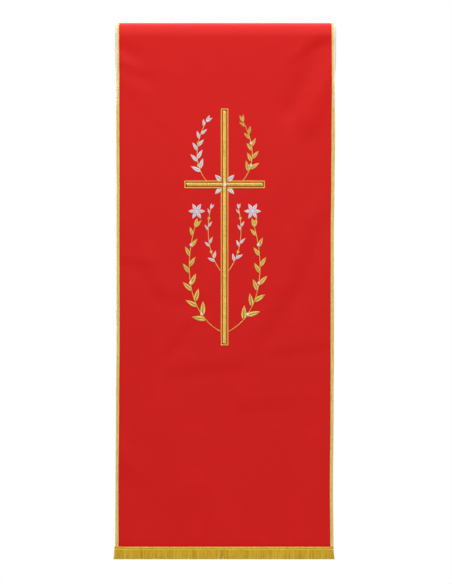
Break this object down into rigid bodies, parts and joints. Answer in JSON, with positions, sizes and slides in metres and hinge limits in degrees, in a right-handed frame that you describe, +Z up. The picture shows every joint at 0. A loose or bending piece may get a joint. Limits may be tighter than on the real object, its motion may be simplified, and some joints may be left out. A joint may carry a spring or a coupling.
{
  "type": "lectern fall",
  "caption": "Long cloth strip folded over at the top, so that a front and a rear layer hang down, with braided edges, an embroidered cross and a fringed front end.",
  "frame": {"origin": "on the underside of the top fold at mid-width, where the cloth sits on the rail or lectern edge that holds it up", "axes": "+Z up, +X along the fold to the right as seen from the front, and the embroidered front layer faces -Y"},
  "size_m": [0.5068, 0.0507, 1.2263],
  "materials": {
    "red_cloth": "smooth twill, matt",
    "gold_braid": "metallic thread, satin",
    "gold_thread": "metallic thread, satin",
    "gold_fringe": "metallic thread, satin"
  },
  "bodies": {
    "root": {"cloth": "red_cloth", "braid_left": "gold_braid", "braid_right": "gold_braid", "cross": "gold_thread", "fringe": "gold_fringe"}
  },
  "joints": []
}
